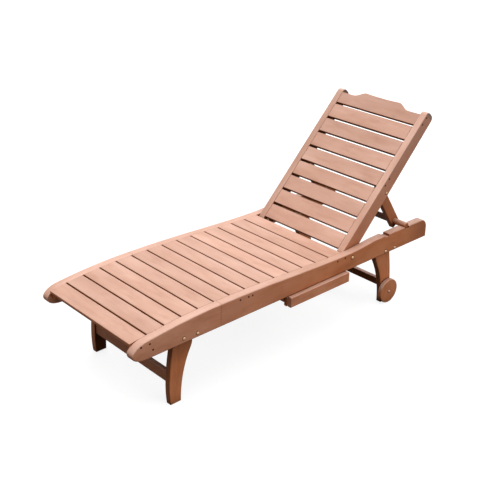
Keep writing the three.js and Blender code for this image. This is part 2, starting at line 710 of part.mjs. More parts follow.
const backingLength = TRAY_FRONT_LENGTH + 2 * BACKING_OVERHANG;
const backingSection = slatSection(BACKING_THICKNESS, trayTop - BACKING_BOTTOM, 2);
const backingGeometry = sidePlate(backingSection, backingLength, 0, 3).rotateZ(Math.PI / 2);
addPiece(tray, 'tray_backing', backingGeometry, shadeWood)
  .position.set(0, FIT + BACKING_THICKNESS / 2, trayTop);

const battenHeight = GROOVE_HEIGHT - 2 * GROOVE_PLAY;
const battenTop = runnerTop - GROOVE_DROP - GROOVE_PLAY;
const battenStartY = 2 * FIT + BACKING_THICKNESS;
const battenX = runnerInnerX + GROOVE_DEPTH - GROOVE_PLAY - TRAY_BATTEN_WIDTH / 2;

for (const [label, direction] of [['foot', -1], ['head', 1]]) {
  addPiece(tray, `tray_batten_${label}`,
    box(TRAY_BATTEN_WIDTH, TRAY_DEPTH, battenHeight, 0, 0, 0), shadeWood)
    .position.set(direction * battenX, battenStartY + TRAY_DEPTH / 2,
      battenTop - battenHeight / 2);
}

const traySlatThickness = trayTop - battenTop - FIT;
const traySlatWidth = (TRAY_DEPTH - (TRAY_SLATS - 1) * TRAY_SLAT_GAP) / TRAY_SLATS;
const traySlatLength = 2 * (runnerInnerX - GROOVE_PLAY);

for (let i = 0; i < TRAY_SLATS; i += 1) {
  const section = slatSection(traySlatWidth, traySlatThickness, 2);
  const slat = sidePlate(section, traySlatLength, 0, 2).rotateZ(Math.PI / 2);
  addPiece(tray, `tray_slat_${i + 1}`, slat, seatWood)
    .position.set(0, battenStartY + (traySlatWidth + TRAY_SLAT_GAP) * i + traySlatWidth / 2,
      trayTop);
}

// ---------------------------------------------------------------- origin

// The origin is the middle of the lounger's outline on the floor.
const outline = new THREE.Box3().setFromObject(lounger, true);
const middle = outline.getCenter(new THREE.Vector3());
lounger.position.set(-middle.x, -middle.y, -outline.min.z);

export default lounger;
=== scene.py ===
"""Looks of the wooden sun lounger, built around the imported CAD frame. Metres, +Z up.

The foot end points to -X and the head end to +X. Left, at -Y, is the left of a person who lies
on it."""

import dataclasses
import json
import math
import random

import bmesh
import bpy
from mathutils import Matrix, Vector


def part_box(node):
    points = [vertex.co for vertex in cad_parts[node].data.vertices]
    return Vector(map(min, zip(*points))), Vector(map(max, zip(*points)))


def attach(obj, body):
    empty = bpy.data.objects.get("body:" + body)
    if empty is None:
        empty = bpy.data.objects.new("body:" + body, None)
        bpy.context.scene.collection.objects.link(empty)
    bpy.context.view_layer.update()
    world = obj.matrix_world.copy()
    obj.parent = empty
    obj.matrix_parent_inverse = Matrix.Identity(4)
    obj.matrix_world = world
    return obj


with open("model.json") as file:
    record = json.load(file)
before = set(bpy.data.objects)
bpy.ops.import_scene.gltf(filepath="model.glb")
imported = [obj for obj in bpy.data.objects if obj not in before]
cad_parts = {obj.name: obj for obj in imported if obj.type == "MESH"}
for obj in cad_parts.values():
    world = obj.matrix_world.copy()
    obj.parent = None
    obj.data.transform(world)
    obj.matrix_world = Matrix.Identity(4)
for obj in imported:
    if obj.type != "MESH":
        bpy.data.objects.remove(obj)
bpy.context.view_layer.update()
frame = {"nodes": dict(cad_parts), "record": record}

MM = 0.001
X = Vector((1, 0, 0))
Y = Vector((0, 1, 0))
Z = Vector((0, 0, 1))
SIDES = (("left", -1), ("right", 1))        # each side's label, and the sign of its outward y

# ---------------------------------------------------------------- places read from the frame

nodes = frame["nodes"]
bodies = frame["record"]["behaviour"]["bodies"]


def centre(name):
    low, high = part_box(name)
    return (low + high) / 2


def outer_y(name, side):
    """Where the face of a node lies that looks outward on this side of the lounger."""
    low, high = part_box(name)
    return low.y if side < 0 else high.y


def inner_y(name, side):
    return outer_y(name, -side)


def body_of(name):
    return next(body for body, members in bodies.items() if name in members)


BACK_SLAT_COUNT = 8
BACK_SLAT_GAP = 10 * MM
back_slats_apart = centre(f"backrest_slat_{BACK_SLAT_COUNT}") - centre("backrest_slat_1")
BACK_SLAT_HALF = (back_slats_apart.length / (BACK_SLAT_COUNT - 1) - BACK_SLAT_GAP) / 2

# BACK_UP runs along the backrest from its hinge, and BACK_FRONT out of its seating side.
BACK_UP = back_slats_apart.normalized()
BACK_FRONT = Vector((-BACK_UP.z, 0, BACK_UP.x))
BACK_TIP = max(BACK_UP.dot(corner.co) for corner in nodes["backrest_rail_left"].data.vertices)

FOOT_BAR = centre("foot_bar")
prop_arm = FOOT_BAR - centre("pivot_bolt_left")
ARM_ALONG = Vector((prop_arm.x, 0, prop_arm.z)).normalized()
LEG_LEAN = 0.13                             # along, per unit of height
WHEEL_GRAIN_LEAN = 0.3

# ---------------------------------------------------------------- shader helpers


class NodeTree:
    """Short ways to fill a node tree. A value is a number, a tuple or another node's socket."""

    def __init__(self, tree):
        self.tree = tree
        self.tree.nodes.clear()

    def add(self, kind, **values):
        node = self.tree.nodes.new(kind)
        for key, value in values.items():
            setattr(node, key, value)
        return node

    def link(self, source, target):
        self.tree.links.new(source, target)

    def feed(self, socket, value):
        if isinstance(value, bpy.types.NodeSocket):
            self.link(value, socket)
        else:
            socket.default_value = value

    def math(self, operation, *values, clamp=False):
        node = self.add("ShaderNodeMath", operation=operation, use_clamp=clamp)
        for socket, value in zip(node.inputs, values):
            self.feed(socket, value)
        return node.outputs[0]

    def product(self, first, *others):
        for other in others:
            first = self.math("MULTIPLY", first, other)
        return first

    def vector(self, operation, *values):
        node = self.add("ShaderNodeVectorMath", operation=operation)
        for socket, value in zip(node.inputs, values):
            self.feed(socket, value)
        return node.outputs["Value" if operation in ("DOT_PRODUCT", "LENGTH") else "Vector"]

    def along(self, vector, direction):
        """How far the vector reaches in a direction."""
        return self.vector("DOT_PRODUCT", vector, tuple(direction))

    def split(self, vector):
        node = self.add("ShaderNodeSeparateXYZ")
        self.link(vector, node.inputs[0])
        return node.outputs["X"], node.outputs["Y"], node.outputs["Z"]

    def grey(self, value):
        node = self.add("ShaderNodeCombineXYZ")
        for socket in node.inputs:
            self.feed(socket, value)
        return node.outputs[0]

    def remap(self, value, low, high, out_low=0.0, out_high=1.0, smooth=False):
        """Goes from out_low to out_high as the value goes from low to high, and stops there."""
        node = self.add("ShaderNodeMapRange")
        node.interpolation_type = "SMOOTHSTEP" if smooth else "LINEAR"
        for socket, item in zip(node.inputs, (value, low, high, out_low, out_high)):
            self.feed(socket, item)
        return node.outputs[0]

    def mix(self, share, first, second, blend="MIX"):
        node = self.add("ShaderNodeMix", data_type="RGBA", blend_type=blend)
        self.feed(node.inputs["Factor"], share)
        self.feed(node.inputs[6], first)
        self.feed(node.inputs[7], second)
        return node.outputs[2]

    def noise(self, vector, scale, detail=2.0, roughness=0.5, output="Fac"):
        node = self.add("ShaderNodeTexNoise")
        self.feed(node.inputs["Vector"], vector)
        node.inputs["Scale"].default_value = scale
        node.inputs["Detail"].default_value = detail
        node.inputs["Roughness"].default_value = roughness
        return node.outputs[output]

    def stretched(self, vector, along, across):
        """Scales x by along and the rest by across, for a pattern that is longer in x."""
        return self.vector("MULTIPLY", vector, (along, across, across))

    def bump(self, height, distance, strength=1.0):
        node = self.add("ShaderNodeBump")
        node.inputs["Strength"].default_value = strength
        node.inputs["Distance"].default_value = distance
        self.feed(node.inputs["Height"], height)
        return node.outputs[0]

    def seen_directly(self):
        """1 for what the camera, a reflection or a transparent piece shows, 0 for other light."""
        path = self.add("ShaderNodeLightPath")
        mirrored = self.math("MAXIMUM", path.outputs["Is Glossy Ray"],
                             path.outputs["Is Transmission Ray"])
        return self.math("MAXIMUM", path.outputs["Is Camera Ray"], mirrored)


class Material(NodeTree):
    """A material around one Principled shader."""

    def __init__(self, name):
        self.material = bpy.data.materials.new(name)
        self.material.use_nodes = True
        super().__init__(self.material.node_tree)
        self.surface = self.add("ShaderNodeBsdfPrincipled")
        self.output = self.add("ShaderNodeOutputMaterial")
        self.link(self.surface.outputs[0], self.output.inputs["Surface"])


def rgba(red, green, blue):
    return (red, green, blue, 1.0)


# ---------------------------------------------------------------- wood

WOOD = {
    "early": rgba(0.520, 0.180, 0.073),
    "late": rgba(0.300, 0.088, 0.030),
    "pale": rgba(0.620, 0.250, 0.120),
    # The paler colours of what looks up and of the rails' foot end: painted light, with sun bleaching.
    "lit_bleached": rgba(0.690, 0.440, 0.348),
    "lit_silvered": rgba(0.695, 0.456, 0.366),
    "end": rgba(0.200, 0.066, 0.027),
    "line": rgba(0.055, 0.017, 0.006),
    # Painted shade, with some dirt: corners, gaps, shaded faces, edges and undersides.
    "shade_and_grime": rgba(0.130, 0.040, 0.014),
    "weathered": rgba(0.240, 0.205, 0.195),
    # The darker grey at the tips of the backrest rails' side faces.
    "tip_grey": rgba(0.170, 0.125, 0.105),
}
RING_SPACING = 4.6 * MM
TURN_PER_UNIT = 20.0                        # a wave texture's rings repeat every 2 pi / 20
FIBRE_RELIEF = 0.25 * MM

FINGER_HALF_PITCH = 5 * MM
FINGER_SLOPE = 1.6                          # along the board, per unit across the fingers
OTHER_BOARD = (0.9, 0.03, 0.05)             # how far off the figure is past a finger joint

# Reach of the pale edges: wear, and a painted highlight.
WORN_LIT_EDGE_RADIUS = 2.2 * MM
# Reach of the painted shade along edges.
EDGE_SHADE_RADIUS = 4.5 * MM
CORNER_REACH = 90 * MM                      # how far a neighbour casts painted shade into a corner
SHADED_EDGE = (1.5 * MM, 4.0 * MM)          # full up to the first, gone at the second
DARK_TOP_RISE = 90 * MM                     # from no painted shadow up to the full one
DARKER_TIP = (26 * MM, 8 * MM)             # begins and is full this far below the tip
SEAM = (0.35 * MM, 1.1 * MM)                # full up to the first, gone at the second

# Along the lounger, the painted light on the foot end grows from the first x to the second, and so
# does the darkening of the head end.
LIT_END_X = (0.25, -0.75)
DARK_HEAD_X = (0.62, 0.84)
WEATHERED_Z = (0.35, 0.75)                  # the weathering grows from the first z to the second


@dataclasses.dataclass
class Finish:
    """What sun, dirt and wear have done to one board, and its painted light and shade. Shares run
    from 0, none, to 1, full.
    """

    tone_and_shade: float = 1.0                       # the brightness of the whole board: its own tone, and painted shade for boards under the seat
    light_and_bleach: str = "lit_bleached"                # the colour of what looks up: painted sheen of the light from above, with sun bleaching
    lit_ends: tuple = None             # shares of painted light at the head end and at the foot end
    weathered: float = 0.0                  # share of grey on what doesn't look up
    dark_head: float = 0.0                  # share of darkening at the head end
    dark_top_z: float = None                # painted shadow begins here and grows upward
    shaded_way: Vector = None                # the way that faces with painted shade look
    shaded_both_ways: bool = True            # the faces that look the opposite way too
    shade_share: float = 0.75
    edge_shade: float = 0.0                # share of painted shade along every edge, instead of the pale edges
    shaded_edge: tuple = None               # a direction, and how far along it a dark line lies
    darker_tip: tuple = None               # a direction, and how far along it the tip lies
    joint_x: float = None                   # the place of a glued finger joint


class Wood(Material):
    """Oiled softwood. The growth rings circle a pith that lies beside the board, so wide faces
    show arched figure, and the finish of the board, with its painted light and shade, lies over it."""

    def __init__(self, name, grain, middle, finish):
        super().__init__("wood_" + name)
        self.chance = random.Random(name)
        self.grain = grain
        self.finish = finish
        coordinates = self.add("ShaderNodeTexCoord")
        self.place = coordinates.outputs["Object"]
        self.normal = coordinates.outputs["Normal"]
        self.x, _, self.z = self.split(self.place)
        _, self.sideways, self.upward = self.split(self.normal)
        self.board = self.board_coordinates(middle)

        self.late = self.growth_rings()
        self.fibre = self.noise(self.stretched(self.board, 9.0, 620.0), 1.0, 3.0, 0.6)
        self.pores = self.noise(self.stretched(self.board, 40.0, 1500.0), 1.0)
        self.mottle = self.noise(self.stretched(self.board, 1.0, 5.0), 2.4, 3.0)
        self.cloud = self.noise(self.board, 9.0, 3.0)
        self.patches = self.noise(self.stretched(self.board, 2.2, 9.0), 3.0, 4.0, 0.6)

        self.colour_fresh_wood()
        self.colour_end_grain()
        self.wear_and_light_edges()
        self.light_and_bleach()
        self.weather()
        self.shade_corners()
        self.paint_shade()
        self.draw_lines()
        self.connect()

    def cover(self, share, colour):
        """Lays one of the colours of WOOD over what is there."""
        self.colour = self.mix(share, self.colour, WOOD[colour])

    def board_coordinates(self, middle):
        """x along the fibres and the rest across them, at a random place along the trunk."""
        across = self.grain.cross(Z if abs(self.grain.z) < 0.8 else X).normalized()
        turn = Matrix((self.grain, across, self.grain.cross(across)))
        shift = Vector((self.chance.uniform(-3, 3), 0, 0))
        mapping = self.add("ShaderNodeMapping")
        mapping.inputs["Rotation"].default_value = turn.to_euler("XYZ")
        mapping.inputs["Location"].default_value = shift - turn @ middle
        self.link(self.place, mapping.inputs["Vector"])
        board = mapping.outputs["Vector"]
        if self.finish.joint_x is not None:
            fingers = self.math("PINGPONG", self.z, FINGER_HALF_PITCH)
            self.zigzag_x = self.math("ADD", self.x, self.product(fingers, FINGER_SLOPE))
            past_joint = self.math("GREATER_THAN", self.zigzag_x, self.finish.joint_x)
            change = self.vector("MULTIPLY", self.grey(past_joint), OTHER_BOARD)
            board = self.vector("ADD", board, change)
        return board

    def growth_rings(self):
        """1 in the dark late wood of a ring and 0 in its early wood."""
        chance = self.chance
        warp = self.noise(self.stretched(self.board, 0.9, 5.0), 1.6, output="Color")
        offset = self.vector("SUBTRACT", warp, (0.5, 0.5, 0.5))
        drift = self.vector("MULTIPLY", offset, (0.0, 0.030, 0.030))
        pith = (0, chance.uniform(-0.03, 0.03), chance.choice((-1, 1)) * chance.uniform(0.03, 0.09))
        around_pith = self.vector("ADD", self.vector("ADD", self.board, drift), pith)
        rings = self.add("ShaderNodeTexWave", wave_type="RINGS", rings_direction="X",
                         wave_profile="SAW")
        spacing = RING_SPACING * chance.uniform(0.85, 1.25)
        rings.inputs["Scale"].default_value = 2 * math.pi / TURN_PER_UNIT / spacing
        rings.inputs["Distortion"].default_value = 0.5
        rings.inputs["Detail"].default_value = 1.0
        self.link(around_pith, rings.inputs["Vector"])
        return self.remap(rings.outputs["Fac"], 0.35, 1.0, smooth=True)

    def knots(self):
        """Rare small dark knots, longer along the fibres."""
        chance = self.chance
        shift = (chance.uniform(0, 9), chance.uniform(0, 9), chance.uniform(0, 9))
        cells = self.add("ShaderNodeTexVoronoi", feature="F1")
        cells.inputs["Scale"].default_value = 1.0
        self.link(self.vector("ADD", self.stretched(self.board, 3.2, 6.5), shift),
                  cells.inputs["Vector"])
        return self.remap(cells.outputs["Distance"], 0.02, 0.07, 0.7, 0.0, smooth=True)

    def colour_fresh_wood(self):
        self.colour = WOOD["early"]
        self.cover(self.product(self.late, self.remap(self.mottle, 0.3, 0.7, 0.25, 0.6)), "late")
        self.cover(self.remap(self.fibre, 0.45, 0.8, 0.0, 0.35), "late")
        self.cover(self.remap(self.cloud, 0.4, 0.75, 0.0, 0.45), "pale")
        self.cover(self.remap(self.patches, 0.50, 0.78, 0.0, 0.55), "late")
        self.cover(self.knots(), "end")

    def colour_end_grain(self):
        """Faces cut across the fibres are darker, with the rings showing."""
        facing = self.math("ABSOLUTE", self.along(self.normal, self.grain))
        self.cut = self.remap(facing, 0.72, 0.93, smooth=True)
        end_colour = self.mix(self.late, WOOD["late"], WOOD["end"])
        self.colour = self.mix(self.product(self.cut, 0.8), self.colour, end_colour)

    def wear_and_light_edges(self):
        """Finds the edges, and paints them pale where no painted shade lies on them: wear, and a
        painted highlight on the rounded edges.
        """
        edge_shaded = self.finish.edge_shade > 0
        bevel = self.add("ShaderNodeBevel", samples=4)
        bevel.inputs["Radius"].default_value = EDGE_SHADE_RADIUS if edge_shaded else WORN_LIT_EDGE_RADIUS
        flat_normal = self.add("ShaderNodeNewGeometry").outputs["Normal"]
        sharp = self.vector("DOT_PRODUCT", bevel.outputs[0], flat_normal)
        self.edges = self.remap(sharp, 0.995, 0.90)
        if not edge_shaded:
            self.cover(self.product(self.edges, self.remap(self.cloud, 0.35, 0.65, 0.15, 0.7)), "pale")

    def light_and_bleach(self):
        # What looks up is painted paler: a painted sheen of the light from above, with sun bleaching.
        sunned_and_lit = self.product(self.remap(self.upward, 0.0, 0.7, smooth=True),
                              self.remap(self.mottle, 0.25, 0.75, 0.55, 0.85),
                              self.remap(self.patches, 0.45, 0.72, 1.0, 0.80))
        self.cover(sunned_and_lit, self.finish.light_and_bleach)
        if self.finish.lit_ends is not None:
            # Painted light: the sides grow paler towards the foot end, where more light falls on them.
            share = self.remap(self.x, *LIT_END_X, *self.finish.lit_ends)
            self.cover(self.product(share, self.remap(self.patches, 0.3, 0.7, 1.25, 0.6)), "lit_bleached")

    def weather(self):
        """Greys what doesn't look up, more so high on the backrest, and darkens the head end."""
        if self.finish.weathered:
            share = self.product(self.remap(self.mottle, 0.3, 0.7, 0.8, 1.2),
                                 self.finish.weathered,
                                 self.remap(self.z, *WEATHERED_Z, 0.55, 1.1),
                                 self.remap(self.upward, 0.3, 0.7, 1.0, 0.0))
            self.cover(share, "weathered")
        if self.finish.dark_head:
            share = self.remap(self.x, *DARK_HEAD_X, 0.0, self.finish.dark_head, smooth=True)
            self.cover(self.product(share, self.remap(self.upward, 0.3, 0.7, 1.0, 0.3)), "shade_and_grime")

    def shade_corners(self):
        """Painted shade, and a weaker specular, in corners and close to other pieces."""
        around = self.add("ShaderNodeAmbientOcclusion", samples=6)
        around.inputs["Distance"].default_value = CORNER_REACH
        openness = around.outputs["AO"]
        self.sheen = self.product(self.remap(openness, 0.4, 0.9, smooth=True),
                                  self.remap(self.upward, -0.3, 0.6, 0.02, 0.15))
        self.cover(self.remap(openness, 0.15, 0.75, 0.80, 0.0, smooth=True), "shade_and_grime")

    def paint_shade(self):
        """Painted shade on the faces and edges that lie in shade."""
        finish = self.finish
        if finish.shaded_way is not None:
            facing = self.along(self.normal, finish.shaded_way)
            if finish.shaded_both_ways:
                facing = self.math("ABSOLUTE", facing)
            share = self.remap(facing, 0.75, 0.97, 0.0, finish.shade_share, smooth=True)
            self.cover(share, "shade_and_grime")
            self.sheen = self.product(self.sheen, self.math("SUBTRACT", 1.0, share))
        if finish.edge_shade:
            share = self.product(self.edges, self.remap(self.cloud, 0.3, 0.65, 0.6, 1.4))
            share = self.math("MULTIPLY", share, finish.edge_shade, clamp=True)
            self.cover(share, "shade_and_grime")

    def draw_lines(self):
        """The painted shade line along an edge, the painted shadow on the top, the darker tip, the
        seam and the painted shade on the underside.
        """
        finish = self.finish
        if finish.shaded_edge is not None:
            direction, edge = finish.shaded_edge
            full, gone = (edge + reach for reach in SHADED_EDGE)
            height = self.along(self.place, direction)
            self.cover(self.remap(height, full, gone, 0.85, 0.0, smooth=True), "shade_and_grime")
        # Painted shadow of the rail on the top of the leg, growing upward.
        if finish.dark_top_z is not None:
            full = finish.dark_top_z + DARK_TOP_RISE
            self.cover(self.remap(self.z, finish.dark_top_z, full, 0.0, 0.50, smooth=True), "shade_and_grime")
        if finish.darker_tip is not None:
            direction, tip = finish.darker_tip
            start, full = (tip - reach for reach in DARKER_TIP)
            height = self.along(self.place, direction)
            share = self.product(self.remap(height, start, full, 0.0, 0.85, smooth=True),
                                 self.math("ABSOLUTE", self.sideways))
            self.cover(share, "tip_grey")
        if finish.joint_x is not None:
            off_seam = self.math("ABSOLUTE", self.math("SUBTRACT", self.zigzag_x, finish.joint_x))
            self.cover(self.remap(off_seam, *SEAM, 0.75, 0.0), "line")
        # Painted shade on what looks down.
        self.cover(self.remap(self.upward, -0.2, -0.8, 0.0, 0.55, smooth=True), "shade_and_grime")

    def connect(self):
        inputs = self.surface.inputs
        level = self.product(self.remap(self.mottle, 0.2, 0.8, 0.9, 1.1), self.finish.tone_and_shade)
        self.link(self.mix(1.0, self.colour, self.grey(level), "MULTIPLY"), inputs["Base Color"])
        rough = self.math("ADD", self.remap(self.fibre, 0.3, 0.8, 0.40, 0.58),
                          self.product(self.cut, 0.2))
        self.link(rough, inputs["Roughness"])
        relief = self.math("ADD", self.product(self.late, 0.5), self.product(self.pores, 0.5))
        self.link(self.bump(relief, FIBRE_RELIEF, 0.5), inputs["Normal"])
        self.link(self.sheen, inputs["Specular IOR Level"])


# ---------------------------------------------------------------- metal


def steel(name, colour, roughness, metallic=1.0, specular=0.5):
    """Steel with a faint cloudy bloom, fine scratches and painted shade on its lower side."""
    shader = Material(name)
    inputs = shader.surface.inputs
    coordinates = shader.add("ShaderNodeTexCoord")
    place = coordinates.outputs["Object"]
    _, _, upward = shader.split(coordinates.outputs["Normal"])
    cloud = shader.noise(place, 260.0, 3.0)
    scratch = shader.noise(shader.stretched(place, 300.0, 4000.0), 1.0)
    dull = rgba(*(0.72 * part for part in colour[:3]))
    clean = shader.mix(shader.remap(cloud, 0.35, 0.7), colour, dull)
    # Painted shade on the lower side.
    lower_shade = shader.remap(upward, 0.15, -0.55, 0.0, 0.85, smooth=True)
    shader.link(shader.mix(lower_shade, clean, WOOD["shade_and_grime"]), inputs["Base Color"])
    shader.link(shader.remap(cloud, 0.3, 0.7, roughness - 0.08, roughness + 0.14),
                inputs["Roughness"])
    inputs["Metallic"].default_value = metallic
    inputs["Specular IOR Level"].default_value = specular
    shader.link(shader.bump(scratch, 0.02 * MM), inputs["Normal"])
    return shader.material


ZINC = steel("zinc_steel", rgba(0.52, 0.32, 0.18), 0.40)
DULL_ZINC = steel("dull_zinc_steel", rgba(0.50, 0.26, 0.17), 0.50)
# Near black: a painted shadow ring under the bolt heads, and the painted shade of the screw holes.
SHADOW_STEEL = steel("shadow_dark_steel", rgba(0.055, 0.018, 0.008), 0.7, metallic=0.0, specular=0.15)

# ---------------------------------------------------------------- CAD pieces

SPLIT_CORNER_REACH = 0.004 * MM
SMOOTH_BELOW = math.radians(46)


def round_shading_group():
    """Joins the corners that the file format split, and shades all but sharp edges smooth."""
    group = bpy.data.node_groups.new("round_shading", "GeometryNodeTree")
    for direction in ("INPUT", "OUTPUT"):
        group.interface.new_socket("Geometry", in_out=direction, socket_type="NodeSocketGeometry")
    tree = NodeTree(group)
    start = tree.add("NodeGroupInput")
    bare = tree.add("GeometryNodeRemoveAttribute")
    bare.inputs["Name"].default_value = "custom_normal"
    merge = tree.add("GeometryNodeMergeByDistance")
    merge.inputs["Distance"].default_value = SPLIT_CORNER_REACH
    faces = tree.add("GeometryNodeSetShadeSmooth", domain="FACE")
    faces.inputs["Shade Smooth"].default_value = True
    edges = tree.add("GeometryNodeSetShadeSmooth", domain="EDGE")
    end = tree.add("NodeGroupOutput")
    chain = (start, bare, merge, faces, edges, end)
    for before, after in zip(chain, chain[1:]):
        tree.link(before.outputs[0], after.inputs[0])
    angle = tree.add("GeometryNodeInputMeshEdgeAngle")
    gentle = tree.add("FunctionNodeCompare", operation="LESS_THAN")
    gentle.inputs[1].default_value = SMOOTH_BELOW
    tree.link(angle.outputs["Unsigned Angle"], gentle.inputs[0])
    tree.link(gentle.outputs[0], edges.inputs["Shade Smooth"])
    return group


ROUND_SHADING = round_shading_group()


def dress(name, material):
    """Gives a CAD node its material and rounded shading."""
    piece = nodes[name]
    piece.material_slots[0].material = material
    shading = piece.modifiers.new("round_shading", "NODES")
    shading.node_group = ROUND_SHADING
    weighted = piece.modifiers.new("face_weight", "WEIGHTED_NORMAL")
    weighted.keep_sharp = True
    weighted.weight = 90


def grain_of(name):
    """The direction of the fibres in a wooden node."""
    if name.startswith(("side_rail", "seat_cleat", "tray_front", "tray_backing", "tray_slat")):
        return X
    if name.startswith("backrest_rail"):
        return BACK_UP
    if name.startswith("prop_arm"):
        return ARM_ALONG
    if name.startswith("front_leg"):
        return Vector((LEG_LEAN, 0, 1)).normalized()
    if name.startswith("rear_leg"):
        return Vector((-LEG_LEAN, 0, 1)).normalized()
    if name.startswith("wheel"):
        return Vector((WHEEL_GRAIN_LEAN, 0, 1)).normalized()
    return Y


RAIL_JOINT_FROM_FOOT = 0.4255
DARK_LEG_TOP = 160 * MM                     # from the leg's top down to where the painted shadow of the rail ends

# How light single boards are against the rest, by the start of their names: mostly their own tone,
# but painted shade for the prop arms, the prop rail, the front stretcher and the far front leg.
TONES_AND_SHADE = {
    "prop_arm": 0.72, "prop_rail": 0.55, "wheel": 0.92, "rear_leg": 1.06, "foot_bar": 1.08,
    "front_stretcher": 0.78, "front_leg_right": 0.60, "front_leg_left": 1.06,
    "seat_slat_2": 0.87, "seat_slat_3": 0.88, "seat_slat_4": 0.95, "seat_slat_5": 0.94,
    "seat_slat_6": 0.93, "seat_slat_9": 0.87, "seat_slat_11": 0.94,
    "backrest_slat_2": 1.15, "backrest_slat_8": 1.08,
}


def tone_and_shade_of(name):
    tone_and_shade = random.Random(name).uniform(0.92, 1.08)
    return tone_and_shade * next((value for start, value in TONES_AND_SHADE.items() if name.startswith(start)), 1.0)


def finish_of(name):
    """How a wooden node has aged, and where light and shade are painted on it."""
    finish = Finish(tone_and_shade=tone_and_shade_of(name))
    low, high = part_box(name)
    if name.startswith("backrest"):
        finish.light_and_bleach = "lit_silvered"
    if name == "seat_slat_1":
        finish.shaded_way = X
        finish.shade_share = 0.42
    elif name.startswith("seat_slat"):
        behind_second = int(name.rsplit("_", 1)[1]) - 2
        finish.shaded_way = X
        finish.shade_share = min(0.45, 0.15 * behind_second)
        finish.edge_shade = min(0.28, 0.02 + 0.09 * behind_second)
    elif name.startswith("backrest_slat"):
        finish.shaded_way = BACK_UP
        finish.edge_shade = 0.70
        finish.shaded_edge = BACK_UP, centre(name).dot(BACK_UP) - BACK_SLAT_HALF
    elif name.startswith("backrest_rail"):
        finish.shaded_way = -Y if name.endswith("right") else Y
        finish.shaded_both_ways = False
        finish.shade_share = 0.80
        finish.weathered = 0.36
        finish.darker_tip = BACK_UP, BACK_TIP
    elif name.startswith("side_rail"):
        finish.joint_x = low.x + RAIL_JOINT_FROM_FOOT
        finish.lit_ends = (0.0, 0.30)
        finish.dark_head = 0.5
        finish.shaded_edge = Z, low.z
    elif name == "tray_front":
        finish.lit_ends = (0.10, 0.40)
    elif name == "front_leg_right":
        finish.shaded_way = -Y
        finish.shaded_both_ways = False
        finish.shade_share = 0.95
    elif name == "front_leg_left":
        finish.shaded_way = X
        finish.shade_share = 0.7
        finish.edge_shade = 0.6
        finish.dark_top_z = high.z - DARK_LEG_TOP
    elif name.startswith("rear_leg"):
        finish.shaded_way = X
        finish.shade_share = 0.7
    elif name == "rear_stretcher":
        finish.shaded_way = X
        finish.shade_share = 0.92
    elif name == "front_stretcher":
        finish.shaded_way = X
        finish.shade_share = 0.2
    return finish


def dress_wood():
    for name in sorted(nodes):
        if "bolt" not in name:
            dress(name, Wood(name, grain_of(name), centre(name), finish_of(name)).material)


# ---------------------------------------------------------------- fasteners

WASHER_HEIGHT = 1.0 * MM
NUT_WASHER_HEIGHT = 0.8 * MM
NUT_CHAMFER = 0.7 * MM
NUT_WASHER_SHARE = 0.62                     # the washer's radius, of the nut's width
NUT_END_SHARE = 0.9                         # the chamfered ends, of the nut's full size
THREAD_RADIUS = 3.6 * MM
THREAD_DEPTH = 0.45 * MM
THREAD_PITCH = 1.0 * MM
SHARP_ABOVE = math.radians(40)
FINE_SEGMENTS = 40
COARSE_SEGMENTS = 24


def new_piece(name, mesh_maker, material, place, outward, body):
    """A mesh made around +Z, turned so that +Z points outward, that rides on a body."""
    mesh = bpy.data.meshes.new(name)
    work = bmesh.new()
    mesh_maker(work)
    bmesh.ops.recalc_face_normals(work, faces=work.faces)
    work.transform(Matrix.Translation(place) @ outward.to_track_quat("Z", "X").to_matrix().to_4x4())
    for face in work.faces:
        face.smooth = True
    work.to_mesh(mesh)
    work.free()
    mesh.materials.append(material)
    mesh.set_sharp_from_angle(angle=SHARP_ABOVE)
    piece = bpy.data.objects.new(name, mesh)
    bpy.context.scene.collection.objects.link(piece)
    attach(piece, body)


def turned(work, profile, segments=FINE_SEGMENTS):
    """Revolves (radius, height) points about Z. Points on the axis close the ends."""
    rings = []
    for radius, height in profile:
        if radius == 0:
            rings.append([work.verts.new((0, 0, height))])
            continue
        ring = []
        for step in range(segments):
            angle = 2 * math.pi * step / segments
            ring.append(work.verts.new((radius * math.cos(angle), radius * math.sin(angle), height)))
        rings.append(ring)
    for low, high in zip(rings, rings[1:]):
        for step in range(segments):
            after = (step + 1) % segments
            if len(low) == 1:
                work.faces.new((low[0], high[after], high[step]))
            elif len(high) == 1:
                work.faces.new((low[step], low[after], high[0]))
            else:
                work.faces.new((low[step], low[after], high[after], high[step]))


def flat_washer(radius):
    """A washer with a chamfered upper edge."""
    chamfer = 0.4 * MM

    def make(work):
        turned(work, [(0, 0), (radius, 0), (radius, 0.7 * WASHER_HEIGHT),
                      (radius - chamfer, WASHER_HEIGHT), (0, WASHER_HEIGHT)])
    return make


def dome_head(radius, height, steps=8):
    """A carriage bolt's domed head, above its washer."""
    def make(work):
        profile = [(0, WASHER_HEIGHT), (radius, WASHER_HEIGHT)]
        for step in range(1, steps + 1):
            angle = math.pi / 2 * step / steps
            profile.append((radius * math.cos(angle) if step < steps else 0,
                            WASHER_HEIGHT + (height - WASHER_HEIGHT) * math.sin(angle)))
        turned(work, profile)
    return make


